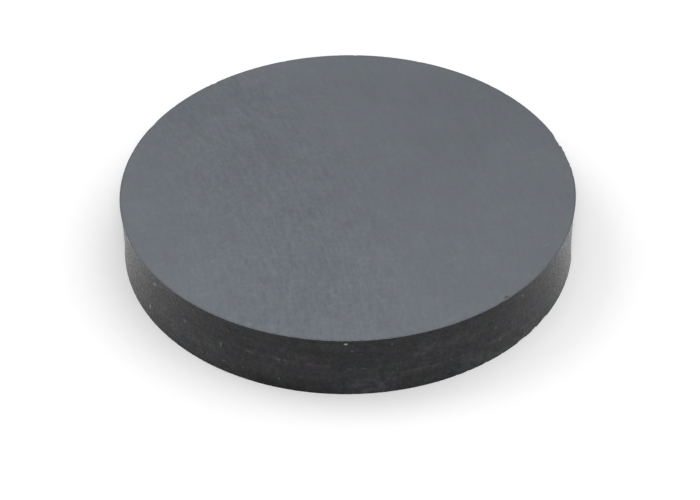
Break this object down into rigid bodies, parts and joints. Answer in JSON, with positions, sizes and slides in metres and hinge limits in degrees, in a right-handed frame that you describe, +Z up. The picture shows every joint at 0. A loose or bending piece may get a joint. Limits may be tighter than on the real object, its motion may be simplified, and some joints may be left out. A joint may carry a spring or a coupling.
{
  "type": "disc magnet",
  "caption": "Plain round disc of hard ferrite that holds by its own magnetic pull, with flat ground pole faces and a fired wall that is slightly hollow at half height.",
  "frame": {"origin": "centre of the lower pole face", "axes": "+Z up along the disc's axis, from the lower pole face to the upper one; +X and +Y lie in the lower pole face"},
  "size_m": [0.1, 0.1, 0.015],
  "materials": {
    "ferrite": "matte"
  },
  "bodies": {
    "root": {"magnet_disc": "ferrite"}
  },
  "joints": []
}
